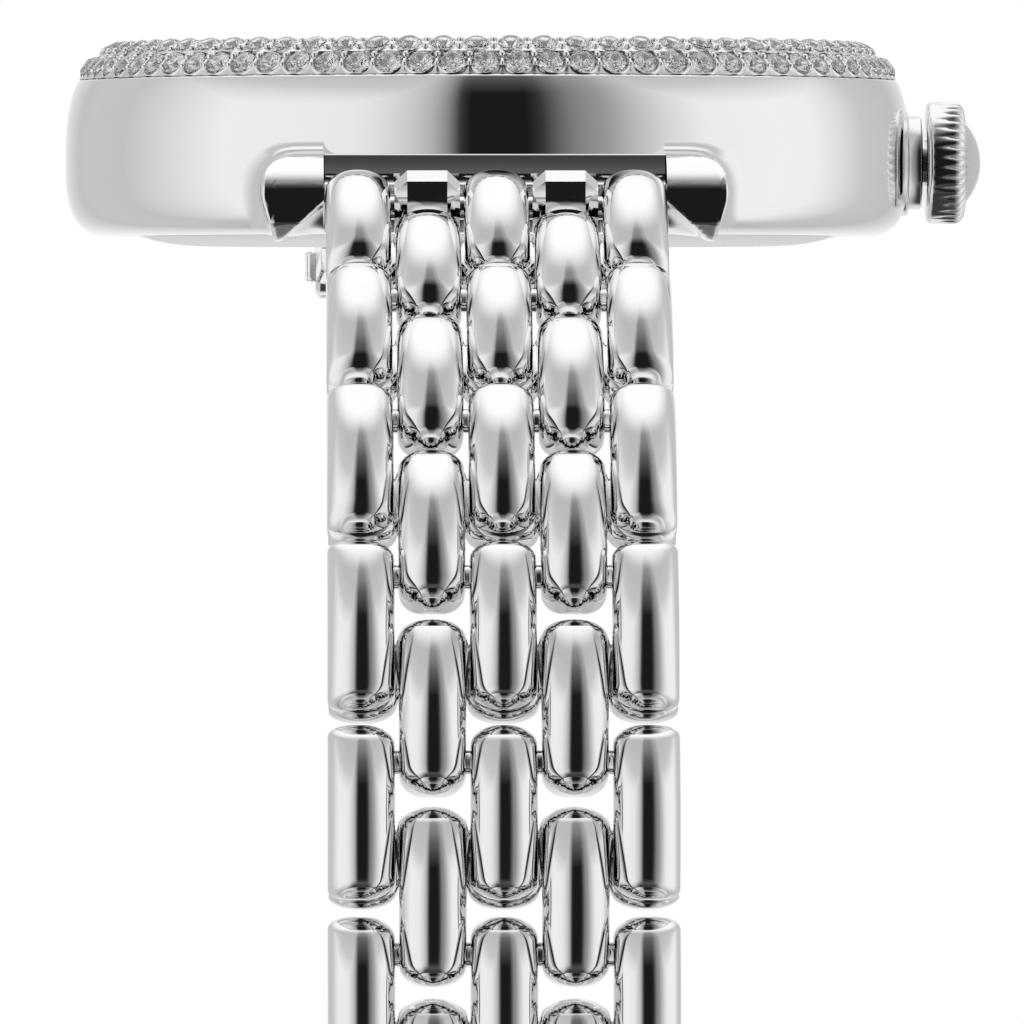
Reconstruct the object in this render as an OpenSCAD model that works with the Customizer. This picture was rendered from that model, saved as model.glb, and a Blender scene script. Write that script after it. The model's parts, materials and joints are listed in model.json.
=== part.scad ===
// Ladies' round wristwatch with a two-row stone bezel and a five-row link bracelet, unfastened.
// Millimetres. The origin is the centre of the case back's outer face. +Z points out of the dial,
// +X at 3 o'clock and the crown, -Y at 6 o'clock.

/* [Case] */
// Largest radius of the case wall
case_r = 16.54; // [15:0.01:18]
// Height of the bezel's top above the case back
case_h = 7.9; // [7.5:0.1:8.5]
// Squareness of the barrel-shaped wall's upper half, 2 being an ellipse
upper_power = 2.5; // [2.2:0.1:4]
// Squareness of the wall's lower half
lower_power = 3; // [2.5:0.1:4]
// Distance between the inner faces of the lugs
lug_gap = 13; // [12.95:0.05:13.2]
// Half of the width over both lugs of one side
lug_half_w = 8.9; // [8.6:0.1:9.6]
// Reach of the lugs from the centre of the case
lug_reach = 19.35; // [19:0.05:19.6]

/* [Stones] */
// Number of stones in the lower, outer row
outer_count = 79; // [60:1:80]
// Number of stones in the upper, inner row
inner_count = 72; // [60:1:74]
// Radius of one stone at its girdle
stone_r = 0.475; // [0.4:0.005:0.48]

/* [Crown] */
// Height of the crown's axis
crown_z = 3.26; // [3:0.02:3.5]
// Radius over the knurling
crown_r = 2.39; // [2.2:0.01:2.5]
// Number of knurled ridges
knurl_count = 36; // [24:1:40]

/* [Hands] */
// Hour shown at rest
rest_hour = 10; // [0:1:11]
// Minute shown at rest
rest_minute = 10; // [0:1:59]

/* [Bracelet] */
// Distance from one hinge pin to the next
pitch = 7.03; // [6.8:0.01:7.2]
// Width of one row
pill_w = 2.47; // [2.3:0.01:2.5]
// Gap between two rows
row_gap = 0.135; // [0.1:0.005:0.2]
// Radius of a rounded knuckle about its pin
knuckle_r = 1.385; // [1.3:0.005:1.45]
// Gap between two pieces that follow each other in one row
end_gap = 0.53; // [0.4:0.01:0.7]
// Height of a pill's crest above the pins
crest = 1.9; // [1.5:0.05:2]
// Depth of a link's underside below the pins
under = 1; // [0.8:0.05:1.1]
// Radius of a hinge pin
pin_r = 0.45; // [0.4:0.01:0.5]
// Slope below the horizontal of links 1 to 9 and of the clasp's tongue, on the half that hangs down
hang_slopes = [30, 39.5, 54, 73, 84, 90, 90, 90, 90, 90]; // [0:0.5:90]
// Slope of links 1 to 9 and of the clasp's box, on the half that lies almost level behind the case
drape_slopes = [11.5, 0.3, 0.3, 0.3, 0.3, 0.3, 0.3, 0.3, 0.3, 0.3]; // [0:0.1:90]

/* [Hidden] */
$fn = 96;
fit = 0.02; // radial clearance of a pin in its bore
bore_r = pin_r + fit;
links_per_side = 9;

// case wall: a superellipse about this centre, with its own height above and below
wall_in_r = 14.5;
wall_mid_z = 3.35;
wall_up = 4.1;
wall_down = 2.98;
wall_top_z = 6.5;
cavity_r = 13;
back_r = 13.6;
back_flange_h = 0.8;
back_recess_z = 1.2;
bezel_seat_r = 14.4;
bezel_seat_z = 5.4;

// bezel: its outside is an arc about this point of the section
bezel_arc_r = 2.5;
bezel_mid_r = 13.7;
bezel_mid_z = case_h - bezel_arc_r;
glass_r = 12.55;
glass_seat_r = 12.75;
glass_z = 6.6;
outer_tilt = 39; // slope of each row's stones above the horizontal
inner_tilt = 65;
seat_depth = 0.5;
row_lift = 0.04;

// lugs: the side view is a superellipse, cut off by the front view
lug_mid_y = -16;
lug_mid_z = 1.95;
lug_half_h = 1.8;
lug_power = 3;
slot_y = -16.55;
bar_y = -17.45;
bar_z = 1.9;
bar_r = 0.6;
bar_tip_r = 0.38;
first_pin = [-20.15, 1.33];

// under the dial
move_r = 9.6;
move_z = 1.75;
move_top = 4.2;
dial_z = 4.55;
dial_top = 4.95;
battery_at = [-4.4, 2.6];
battery_r = 3.9;
tube_r = 0.75; // outside of the hour wheel's tube
arbor_r = 0.45; // outside of the cannon pinion
stem_r = 0.45;
post_r = 0.85;

link_rows = [-2, 0, 2]; // rows with the knuckles at a link's upper pin
next_rows = [-1, 1]; // rows with the knuckles at its lower pin
row_step = pill_w + row_gap;
band_w = 5 * pill_w + 4 * row_gap;
pin_len = band_w - 0.3;
link_end = pitch - knuckle_r - end_gap; // reach of a pill from the link's other pin
web_len = 2 * link_end - pitch - 0.2;
web_h = 1.3;
dome_r = 4.6; // lengthwise radius of a pill's crest
shoulder = 0.4; // reach of the domed top past the pin
web_past = 0.3; // reach of the web past the end of a pill

// clasp, measured from its pin
box_len = 15;
box_half_h = 1.5;
mouth_w = 9.2;
mouth_h = 1.4;
mouth_from = 6.5;
button_from = 9.6;
button_len = 2.8;
button_h = 1.4;
button_travel = 0.45;

// power that keeps the sign, for superellipses
function signed_power(v, p) = sign(v) * pow(abs(v), p);

// point of a superellipse at the angle a
function rounded_point(mid, half_w, half_h, power, a) =
  mid + [half_w * signed_power(cos(a), 2 / power), half_h * signed_power(sin(a), 2 / power)];

// pin k of a bracelet half, as [y, z]
function pin_at(k, slopes) =
  k == 0 ? first_pin : pin_at(k - 1, slopes) - pitch * [cos(slopes[k - 1]), sin(slopes[k - 1])];

// point of the bezel's section at a tilt above the horizontal, lifted off its surface, as [r, z]
function bezel_point(tilt, lift) =
  [bezel_mid_r, bezel_mid_z] + (bezel_arc_r + lift) * [cos(tilt), sin(tilt)];

// ---------- helpers ----------

// a side view drawn in y and z, made w wide about x = 0
module across(w) {
  rotate([90, 0, 90]) linear_extrude(w, center = true) children();
}

// a front view drawn in x and z, made d deep towards -Y from y = 0
module forward(d) {
  rotate([90, 0, 0]) linear_extrude(d) children();
}

// a ring about Z from the radius r1 to r2 and the height z1 to z2
module ring(r1, r2, z1, z2) {
  translate([0, 0, z1]) difference() {
    cylinder(r = r2, h = z2 - z1);
    translate([0, 0, -1]) cylinder(r = r1, h = z2 - z1 + 2);
  }
}

// a rod along X on the crown's axis
module crown_rod(r, x1, x2) {
  translate([x1, 0, crown_z]) rotate([0, 90, 0]) cylinder(r = r, h = x2 - x1);
}

// a rod along X, centred on the origin
module cross_rod(r, len) {
  rotate([0, 90, 0]) cylinder(r = r, h = len, center = true);
}

module at_first_pin() {
  translate([0, first_pin[0], first_pin[1]]) children();
}

// both sides of the case, from the one at 6 o'clock
module both_sides() {
  children();
  rotate([0, 0, 180]) children();
}

// ---------- case ----------

module wall_section() {
  mid = [wall_in_r, wall_mid_z];
  swell = case_r - wall_in_r;
  upper = [for (a = [90:-5:0]) rounded_point(mid, swell, wall_up, upper_power, a)];
  lower = [for (a = [-5:-5:-90]) rounded_point(mid, swell, wall_down, lower_power, a)];
  intersection() {
    polygon(concat([[cavity_r, wall_mid_z + wall_up]], upper, lower, [[cavity_r, wall_mid_z - wall_down]]));
    square([case_r + 1, wall_top_z]);
  }
}

module lug_side() {
  mid = [lug_mid_y, lug_mid_z];
  polygon([for (a = [0:6:354]) rounded_point(mid, lug_mid_y + lug_reach, lug_half_h, lug_power, a)]);
}

// one side's two lugs before the slot, narrower at the bottom, with the slanted arch underneath
module lug_front() {
  low_w = lug_half_w - 0.5;
  polygon([
    [-lug_half_w, 4], [-lug_half_w, 2.6], [-low_w, 0.6], [-low_w + 0.4, 0],
    [-lug_gap / 2 + 0.02, 1.6], [lug_gap / 2 - 0.02, 1.6],
    [low_w - 0.4, 0], [low_w, 0.6], [lug_half_w, 2.6], [lug_half_w, 4]]);
}

module lugs() {
  difference() {
    intersection() {
      across(2 * lug_half_w + 1) lug_side();
      translate([0, -12, 0]) forward(10) lug_front();
    }
    translate([-lug_gap / 2, slot_y - 6, -1]) cube([lug_gap, 6, 8]);
    translate([0, bar_y, bar_z]) cross_rod(bar_tip_r + 0.04, 15.2);
  }
}

module case() {
  color("silver") difference() {
    union() {
      rotate_extrude($fn = 180) wall_section();
      both_sides() lugs();
    }
    translate([0, 0, bezel_seat_z]) cylinder(r = bezel_seat_r + fit, h = 3);
    translate([0, 0, 0.1]) cylinder(r = cavity_r, h = 7);
    translate([0, 0, -1]) cylinder(r = back_r + fit, h = 1 + back_recess_z);
    crown_rod(1.3, cavity_r - 1, 18);
    crown_rod(2.07, 15.8, 18);
  }
}

// seat for a row of stones: a ring-shaped groove square to the row's tilt
module stone_groove(tilt) {
  half_w = stone_r + 0.055;
  floor_w = 0.07;
  translate(bezel_point(tilt, 0)) rotate(tilt) polygon([
    [0.3, -half_w], [0.3, half_w], [-0.08, half_w],
    [-seat_depth, floor_w], [-seat_depth, -floor_w], [-0.08, -half_w]]);
}

module bezel_section() {
  difference() {
    union() {
      intersection() {
        translate([bezel_mid_r, bezel_mid_z]) circle(bezel_arc_r);
        translate([glass_seat_r, wall_top_z]) square([5, 3]);
      }
      translate([cavity_r + 0.2, bezel_seat_z + 0.05]) square([bezel_seat_r - cavity_r - 0.2, 1.2]);
      translate([12.1, wall_top_z - 0.15]) square([1.5, 0.22]);
    }
    stone_groove(outer_tilt);
    stone_groove(inner_tilt);
  }
}

module bezel() {
  color("gainsboro") rotate_extrude($fn = 180) bezel_section();
}

// one cut stone: a crown above the girdle and a pointed pavilion below it
module stone() {
  cylinder(r1 = stone_r, r2 = stone_r * 0.58, h = 0.15, $fn = 24);
  translate([0, 0, -0.06]) cylinder(r = stone_r, h = 0.06, $fn = 24);
  translate([0, 0, -0.4]) cylinder(r1 = 0.06, r2 = stone_r, h = 0.34, $fn = 24);
}

module stone_row(count, tilt, turn) {
  p = bezel_point(tilt, row_lift);
  for (i = [0:count - 1]) rotate([0, 0, (i + turn) * 360 / count])
    translate([p[0], 0, p[1]]) rotate([0, 90 - tilt, 0]) stone();
}

module outer_stones() {
  color("white") stone_row(outer_count, outer_tilt, 0);
}

module inner_stones() {
  color("white") stone_row(inner_count, inner_tilt, 0.5);
}

module crystal() {
  color("azure") translate([0, 0, glass_z]) {
    cylinder(r = glass_r, h = 1);
    translate([0, 0, 1]) cylinder(r1 = glass_r, r2 = glass_r - 0.35, h = 0.15);
  }
}

module crystal_gasket() {
  color("white") ring(glass_r + fit, glass_seat_r - fit, glass_z, glass_z + 0.85);
}

module inner_ring() {
  out_r = 12.85;
  top_z = 6.3;
  color("lightgrey") rotate_extrude()
    polygon([[out_r, dial_top], [12.4, dial_top], [12.05, top_z], [out_r, top_z]]);
}

module case_back() {
  color("silver") {
    translate([0, 0, 0.25]) cylinder(r = back_r, h = back_flange_h - 0.25);
    cylinder(r1 = back_r - 0.6, r2 = back_r, h = 0.25);
    ring(12, cavity_r - 0.05, back_flange_h - 0.1, 1.6);
  }
}

module back_gasket() {
  color("dimgrey") ring(cavity_r, back_r - 0.05, back_flange_h + 0.01, back_recess_z - 0.01);
}

// ---------- dial and hands ----------

module dial() {
  color("ghostwhite") ring(0.85, 12.8, dial_z, dial_top);
}

module dial_markers() {
  color("silver") for (i = [0:11]) rotate([0, 0, 30 * i]) {
    long = i % 3 == 0 ? 2.4 : 1.6;
    translate([-0.2, 11.7 - long, dial_top]) cube([0.4, long, 0.22]);
  }
}

// a leaf-shaped hand that points at 12, with a round hub
module hand(length, hub_r, hole_r, thick) {
  difference() {
    union() {
      cylinder(r = hub_r, h = thick);
      linear_extrude(thick) polygon([
        [-0.3, 0], [-0.62, length * 0.45], [0, length], [0.62, length * 0.45],
        [0.3, 0], [0.4, -2.2], [-0.4, -2.2]]);
    }
    translate([0, 0, -1]) cylinder(r = hole_r, h = thick + 2);
  }
}

module hour_hand() {
  color("silver") rotate([0, 0, -30 * rest_hour - rest_minute / 2])
    translate([0, 0, 5.15]) hand(6.6, 1.15, tube_r + fit, 0.14);
}

module minute_hand() {
  color("silver") rotate([0, 0, -6 * rest_minute])
    translate([0, 0, 5.62]) hand(10, 0.95, arbor_r + fit, 0.14);
}

module hour_wheel() {
  color("goldenrod") difference() {
    union() {
      translate([0, 0, 4.25]) cylinder(r = 2.6, h = 0.2);
      for (i = [0:35]) rotate([0, 0, 10 * i]) translate([2.5, -0.1, 4.25]) cube([0.35, 0.2, 0.2]);
      translate([0, 0, 4.25]) cylinder(r = tube_r, h = 1.1);
    }
    translate([0, 0, 4]) cylinder(r = arbor_r + 0.05, h = 2);
  }
}

module cannon_pinion() {
  color("goldenrod") {
    translate([0, 0, 3.6]) cylinder(r = arbor_r, h = 2.25);
    translate([0, 0, 3.4]) cylinder(r = 1, h = 0.2);
  }
}

// ---------- movement ----------

module movement() {
  color("darkkhaki") difference() {
    translate([0, 0, move_z]) cylinder(r = move_r, h = move_top - move_z);
    translate([battery_at[0], battery_at[1], move_z - 1]) cylinder(r = battery_r + 0.08, h = 2.45);
    translate([0, 0, 3.35]) cylinder(r = 1.06, h = 0.3);
    translate([0, 0, 3.5]) cylinder(r = 0.5, h = 2);
    crown_rod(0.5, 5, 11);
    translate([6.5, -1.4, 2.45]) cube([2.2, 2.8, 3]);
  }
}

module movement_ring() {
  color("whitesmoke") difference() {
    ring(move_r + fit, cavity_r - 0.08, move_z - 0.05, dial_z - 0.02);
    crown_rod(0.55, 9, 14);
  }
}

module battery() {
  color("silver") translate([battery_at[0], battery_at[1], move_z + 0.01]) {
    cylinder(r = battery_r, h = 1.05);
    translate([0, 0, 1]) cylinder(r = battery_r - 0.7, h = 0.35);
  }
}

module battery_clip() {
  color("silver") translate([0, 0, move_z - 0.14]) {
    translate([battery_at[0] - 4.6, battery_at[1] - 0.8, 0]) cube([9.6, 1.6, 0.13]);
    translate([battery_at[0] + 4.4, battery_at[1] - 2.2, 0]) cube([1.2, 4.4, 0.13]);
  }
}

module stem() {
  color("silver") difference() {
    crown_rod(stem_r, 5.6, 14.2);
    difference() {
      crown_rod(stem_r + 1, 6.8, 7.2);
      crown_rod(0.3, 6, 8);
    }
  }
}

module setting_lever() {
  color("goldenrod") difference() {
    translate([6.85, -1.2, 2.6]) cube([0.3, 2.4, 1.3]);
    crown_rod(0.33, 6, 8);
  }
}

// ---------- crown ----------

module crown_tube() {
  color("silver") difference() {
    union() {
      crown_rod(1.28, cavity_r + 0.1, 16);
      crown_rod(2.05, 15.82, 16.5);
      crown_rod(1.8, 16.4, 17);
    }
    crown_rod(post_r + 0.05, 12, 18);
    crown_rod(1.15, 15, 15.5);
  }
}

module crown_gasket() {
  color("dimgrey") difference() {
    crown_rod(1.13, 15.02, 15.48);
    crown_rod(post_r + 0.02, 14, 17);
  }
}

module crown() {
  color("silver") difference() {
    union() {
      crown_rod(post_r, 14.2, 17.3);
      crown_rod(crown_r - 0.12, 17.08, 18.72);
      for (i = [0:knurl_count - 1]) translate([0, 0, crown_z]) rotate([360 * i / knurl_count, 0, 0])
        translate([17.25, 0, crown_r - 0.14]) rotate([0, 90, 0]) cylinder(r = 0.14, h = 1.25, $fn = 16);
    }
    crown_rod(1.6, 18.4, 19);
  }
}

module crown_cabochon() {
  base_r = 1.575;
  dome_r = 2.57;
  color("whitesmoke") translate([18.41, 0, crown_z]) rotate([0, 90, 0]) rotate_extrude() {
    square([base_r, 0.31]);
    intersection() {
      translate([0, 0.85 - dome_r]) circle(dome_r);
      translate([0, 0.2]) square([base_r, 2]);
    }
  }
}

// ---------- end links ----------

module spring_bars() {
  color("silver") both_sides() translate([0, bar_y, bar_z]) {
    cross_rod(bar_r, 12.4);
    cross_rod(bar_tip_r, 14.6);
  }
}

// knuckles in the rows between the first link's own, joined to a body flush with the lugs
module end_link() {
  color("silver") difference() {
    union() {
      difference() {
        intersection() {
          across(lug_gap - 0.06) lug_side();
          translate([-lug_gap, slot_y - 0.04 - 4, 0.25]) cube([2 * lug_gap, 4, 6]);
        }
        at_first_pin() cross_rod(knuckle_r + 0.25, 20);
      }
      for (row = next_rows) translate([row * row_step, 0, 0]) at_first_pin() {
        cross_rod(knuckle_r, pill_w);
        translate([-pill_w / 2, 0, -0.9]) cube([pill_w, 2.1, 1.7]);
      }
    }
    translate([0, bar_y, bar_z]) cross_rod(bar_r + 0.04, 20);
    at_first_pin() cross_rod(bore_r, 20);
  }
  color("silver") at_first_pin() cross_rod(pin_r, pin_len);
}

module end_link_6() {
  end_link();
}

module end_link_12() {
  rotate([0, 0, 180]) end_link();
}

// ---------- links ----------

// puts a piece drawn about its upper pin, running towards -Y, at place k of a bracelet half
module place(k, slopes) {
  p = pin_at(k - 1, slopes);
  translate([0, p[0], p[1]]) rotate([slopes[k - 1], 0, 0]) children();
}

// side view of one pill, domed lengthwise, with its knuckle about the pin and its other end at link_end
module pill_side() {
  intersection() {
    union() {
      circle(knuckle_r);
      translate([-link_end, -under]) square([link_end + shoulder, under + crest]);
    }
    translate([(knuckle_r - link_end) / 2, crest - dome_r]) circle(dome_r);
    translate([-10, -under]) square([20, under + crest]);
  }
}

// one domed pill
module pill() {
  intersection() {
    across(pill_w) pill_side();
    translate([0, 5, 0]) forward(15) {
      translate([0, crest - pill_w / 2]) circle(pill_w / 2);
      translate([-pill_w / 2, -under]) square([pill_w, under + crest - pill_w / 2]);
    }
  }
}

// the web's edge, which shows past the end of a pill
module web_edge() {
  translate([-pill_w / 2, -web_past, -under + 0.1]) cube([pill_w, 1, web_h]);
}

// three pills about the upper pin and two about the lower one, on one web, with the lower pin
module link() {
  color("silver") difference() {
    union() {
      for (row = link_rows) translate([row * row_step, 0, 0]) pill();
      for (row = next_rows) translate([row * row_step, -pitch, 0]) rotate([0, 0, 180]) pill();
      translate([-pin_len / 2, -link_end + 0.1, -under + 0.1]) cube([pin_len, web_len, web_h]);
      for (row = link_rows) translate([row * row_step, -link_end, 0]) web_edge();
      for (row = next_rows) translate([row * row_step, link_end - pitch, 0]) mirror([0, 1, 0]) web_edge();
    }
    for (y = [0, -pitch]) translate([0, y, 0]) cross_rod(bore_r, 20);
  }
  color("silver") translate([0, -pitch, 0]) cross_rod(pin_r, pin_len);
}

module link_6(k) {
  place(k, hang_slopes) link();
}

module link_12(k) {
  rotate([0, 0, 180]) place(k, drape_slopes) link();
}

// ---------- clasp ----------

// three knuckles on the clasp half's pin, joined to its body at 2 mm from the pin
module clasp_knuckles() {
  for (row = link_rows) translate([row * row_step, 0, 0]) {
    cross_rod(knuckle_r, pill_w);
    translate([-pill_w / 2, -2.2, -under]) cube([pill_w, 2.2, 2.2]);
  }
}

// the tongue's notches take the noses of the two buttons when the clasp is closed
module clasp_tongue() {
  color("silver") place(links_per_side + 1, hang_slopes) difference() {
    union() {
      clasp_knuckles();
      translate([-band_w / 2, -4.5, -box_half_h + 0.2]) cube([band_w, 2.5, 2 * box_half_h - 0.4]);
      translate([-4.4, -12.6, -0.55]) cube([8.8, 8.4, 1.1]);
    }
    cross_rod(bore_r, 20);
    for (side = [-1, 1]) translate([side * 4.5 - 0.6, -10, -1]) cube([1.2, button_len + 0.2, 2]);
  }
}

module clasp_box() {
  color("silver") rotate([0, 0, 180]) place(links_per_side + 1, drape_slopes) difference() {
    union() {
      clasp_knuckles();
      translate([-band_w / 2, -box_len, -box_half_h]) cube([band_w, box_len - 2, 2 * box_half_h]);
    }
    cross_rod(bore_r, 20);
    translate([-mouth_w / 2, -box_len - 1, -mouth_h / 2]) cube([mouth_w, box_len + 1 - mouth_from, mouth_h]);
    translate([-band_w, -button_from - button_len - 0.06, -button_h / 2 - 0.06])
      cube([2 * band_w, button_len + 0.12, button_h + 0.12]);
    translate([-5.6, -button_from - button_len - 0.4, -button_h / 2 - 0.06])
      cube([11.2, button_len + 0.8, button_h + 0.12]);
  }
}

// a side button, its nose towards the mouth; side is 1 for the one at -X and -1 for the one at +X
module clasp_button(side) {
  nose_x = 4.3;
  color("silver") rotate([0, 0, 180]) place(links_per_side + 1, drape_slopes)
    mirror([side < 0 ? 1 : 0, 0, 0]) translate([0, -button_from - button_len, -button_h / 2]) {
      translate([nose_x, 0, 0]) cube([band_w / 2 + button_travel - nose_x, button_len, button_h]);
      translate([nose_x + 0.4, -0.3, 0]) cube([0.85, button_len + 0.6, button_h]);
    }
}

module clasp_button_left() {
  clasp_button(1);
}

module clasp_button_right() {
  clasp_button(-1);
}

// a U-shaped leaf on the mouth's floor, whose arms push the two buttons out
module clasp_spring() {
  leaf = 0.15;
  arm_x = 4.2;
  arm_len = button_from + button_len / 2 - mouth_from;
  color("silver") rotate([0, 0, 180]) place(links_per_side + 1, drape_slopes)
    translate([0, -mouth_from - 0.1, -mouth_h / 2 + 0.03]) linear_extrude(0.5) {
      for (side = [-1, 1]) translate([side * arm_x - leaf / 2, -arm_len]) square([leaf, arm_len]);
      translate([-arm_x - leaf / 2, -leaf]) square([2 * arm_x + leaf, leaf]);
    }
}

case();
bezel();
outer_stones();
inner_stones();
crystal();
crystal_gasket();
inner_ring();
dial();
dial_markers();
hour_hand();
minute_hand();
hour_wheel();
cannon_pinion();
movement();
movement_ring();
battery();
battery_clip();
case_back();
back_gasket();
crown();
crown_cabochon();
crown_tube();
crown_gasket();
stem();
setting_lever();
spring_bars();
end_link_6();
end_link_12();
for (k = [1:links_per_side]) link_6(k);
for (k = [1:links_per_side]) link_12(k);
clasp_tongue();
clasp_box();
clasp_button_left();
clasp_button_right();
clasp_spring();
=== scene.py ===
"""Looks of the ladies' wristwatch: polished steel case and links, stone bezel, crown, dial.

Lengths are millimetres in the row frame until add_mesh() turns them into metres.
"""

import json
import math

import bpy
import bmesh
import numpy as np
from mathutils import Matrix, Vector


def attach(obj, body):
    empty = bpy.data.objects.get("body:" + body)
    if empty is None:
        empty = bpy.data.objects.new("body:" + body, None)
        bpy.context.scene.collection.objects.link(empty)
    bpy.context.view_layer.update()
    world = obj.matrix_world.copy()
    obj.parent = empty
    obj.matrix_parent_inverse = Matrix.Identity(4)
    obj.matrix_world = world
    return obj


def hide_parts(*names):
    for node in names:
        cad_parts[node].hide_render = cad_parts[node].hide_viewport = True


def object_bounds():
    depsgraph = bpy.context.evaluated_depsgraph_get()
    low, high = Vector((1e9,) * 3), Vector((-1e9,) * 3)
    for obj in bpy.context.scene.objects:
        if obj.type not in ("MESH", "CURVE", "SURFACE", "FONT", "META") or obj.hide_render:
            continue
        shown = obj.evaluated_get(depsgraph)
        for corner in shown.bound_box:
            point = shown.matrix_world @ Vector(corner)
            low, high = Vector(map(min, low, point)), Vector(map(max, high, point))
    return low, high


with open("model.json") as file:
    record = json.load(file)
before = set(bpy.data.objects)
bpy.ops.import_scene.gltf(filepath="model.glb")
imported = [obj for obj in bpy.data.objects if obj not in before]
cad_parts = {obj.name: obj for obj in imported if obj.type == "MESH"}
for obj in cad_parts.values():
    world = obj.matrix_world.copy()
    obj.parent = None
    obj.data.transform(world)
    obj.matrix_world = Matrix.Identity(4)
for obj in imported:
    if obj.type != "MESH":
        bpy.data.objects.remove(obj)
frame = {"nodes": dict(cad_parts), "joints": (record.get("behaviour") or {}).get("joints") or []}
cad_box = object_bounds()

MM = 0.001
TAU = 2 * math.pi

# case, as in the CAD
CASE_R = 16.54
WALL_IN_R = 14.5
WALL_MID_Z = 3.35
WALL_UP, WALL_UP_POWER = 4.1, 2.5
WALL_DOWN, WALL_DOWN_POWER = 2.98, 3
WALL_TOP = 6.5
BEZEL_SEAT_R, BEZEL_SEAT_Z = 14.42, 5.4
CAVITY_R = 13.0
BACK_R, BACK_RECESS_Z = 13.62, 1.2
HEART_Z = 2.6  # height that the wall's sections are swept from
SLOT_X, SLOT_Y = 6.5, 16.55

# bezel and stones
BEZEL_R, BEZEL_Z, BEZEL_ARC = 13.7, 5.4, 2.5
OUTER_TILT, INNER_TILT = math.radians(39), math.radians(65)
OUTER_COUNT, INNER_COUNT = 79, 72
STONE_R = 0.475
ROW_LIFT = 0.04

# crown
CROWN_Z = 3.26
CROWN_R = 2.39
CROWN_X1, CROWN_X2 = 17.08, 18.72
KNURLS = 36

# bracelet
PITCH = 7.03
PILL_HALF_W = 1.235
ROW_STEP = 2.605
BAND_HALF_W = 2 * ROW_STEP + PILL_HALF_W
KNUCKLE_R = 1.385
PILL_END = 5.115
CREST = 1.93
DOME_R = 5.4
UNDER = 1.0
PIN_R = 0.45
LINKS = 9


# ---------- mesh helpers ----------

def face_outwards(mesh):
    bm = bmesh.new()
    bm.from_mesh(mesh)
    bmesh.ops.recalc_face_normals(bm, faces=bm.faces)
    bm.to_mesh(mesh)
    bm.free()


def add_mesh(name, verts, faces, body, material, replaces=(), sharp=40, normals=None,
             flat=False):
    """Makes a piece from millimetre vertices, rides it on a body and gives it its material."""
    mesh = bpy.data.meshes.new(name)
    mesh.from_pydata((np.asarray(verts, float) * MM).tolist(), [], [list(map(int, f)) for f in faces])
    mesh.materials.append(material)
    if normals is None:
        face_outwards(mesh)
    if not flat:
        mesh.shade_smooth()
        mesh.set_sharp_from_angle(angle=math.radians(sharp))
    if normals is not None:
        mesh.normals_split_custom_set(normals)
    return place(name, mesh, body, replaces)


def place(name, mesh, body, replaces=(), matrix=None):
    """Puts a mesh in the scene, riding on a body, in place of the CAD nodes named."""
    obj = bpy.data.objects.new(name, mesh)
    bpy.context.scene.collection.objects.link(obj)
    if matrix is not None:
        obj.matrix_world = matrix
    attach(obj, body)
    if replaces:
        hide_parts(*replaces)
    return obj


def grid_faces(n_rows, n_cols, wrap_rows=False, wrap_cols=False, start=0):
    """Quads of a grid of vertices numbered row by row."""
    faces = []
    for i in range(n_rows if wrap_rows else n_rows - 1):
        for j in range(n_cols if wrap_cols else n_cols - 1):
            i2, j2 = (i + 1) % n_rows, (j + 1) % n_cols
            faces.append((start + i * n_cols + j, start + i * n_cols + j2,
                          start + i2 * n_cols + j2, start + i2 * n_cols + j))
    return faces


class Shape:
    """Collects closed parts of one mesh."""

    def __init__(self):
        self.verts, self.faces, self.count = [], [], 0

    def add(self, verts, faces):
        verts = np.asarray(verts, float)
        self.verts.append(verts)
        self.faces += [tuple(self.count + i for i in f) for f in faces]
        self.count += len(verts)

    def all_verts(self):
        return np.concatenate(self.verts)


def lathe(profile, n, phases=None):
    """A closed ring about Z from an outline of (r, z) points."""
    profile = np.asarray(profile, float)
    phi = np.arange(n) * TAU / n if phases is None else phases
    r, z = profile[:, 0][:, None], profile[:, 1][:, None]
    verts = np.stack([r * np.cos(phi), r * np.sin(phi), z + 0 * phi], -1).reshape(-1, 3)
    return verts, grid_faces(len(profile), n, True, True)


def turned(profile, n):
    """A turned solid about Z whose outline starts and ends on the axis."""
    profile = np.asarray(profile, float)
    ring = profile[1:-1]
    phi = np.arange(n) * TAU / n
    body = np.stack([ring[:, :1] * np.cos(phi), ring[:, :1] * np.sin(phi), ring[:, 1:] + 0 * phi], -1)
    verts = np.concatenate([body.reshape(-1, 3), [[0, 0, profile[0, 1]], [0, 0, profile[-1, 1]]]])
    faces = grid_faces(len(ring), n, False, True)
    first, last, top = len(verts) - 2, len(verts) - 1, (len(ring) - 1) * n
    for j in range(n):
        faces.append((first, (j + 1) % n, j))
        faces.append((last, top + j, top + (j + 1) % n))
    return verts, faces


def to_crown_axis(verts):
    """Turns a shape about Z into one about the crown's axis, its Z becoming X."""
    v = np.asarray(verts, float)
    return np.stack([v[:, 2], v[:, 1], CROWN_Z - v[:, 0]], -1)


def arc(cx, cy, r, a1, a2, n):
    """Points of an arc from the angle a1 to a2, in degrees."""
    angles = np.linspace(math.radians(a1), math.radians(a2), n)
    return [(cx + r * math.cos(a), cy + r * math.sin(a)) for a in angles]


# ---------- materials ----------

def new_material(name):
    mat = bpy.data.materials.new(name)
    mat.use_nodes = True
    nodes = mat.node_tree.nodes
    return mat, nodes, mat.node_tree.links, nodes["Principled BSDF"]


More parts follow.
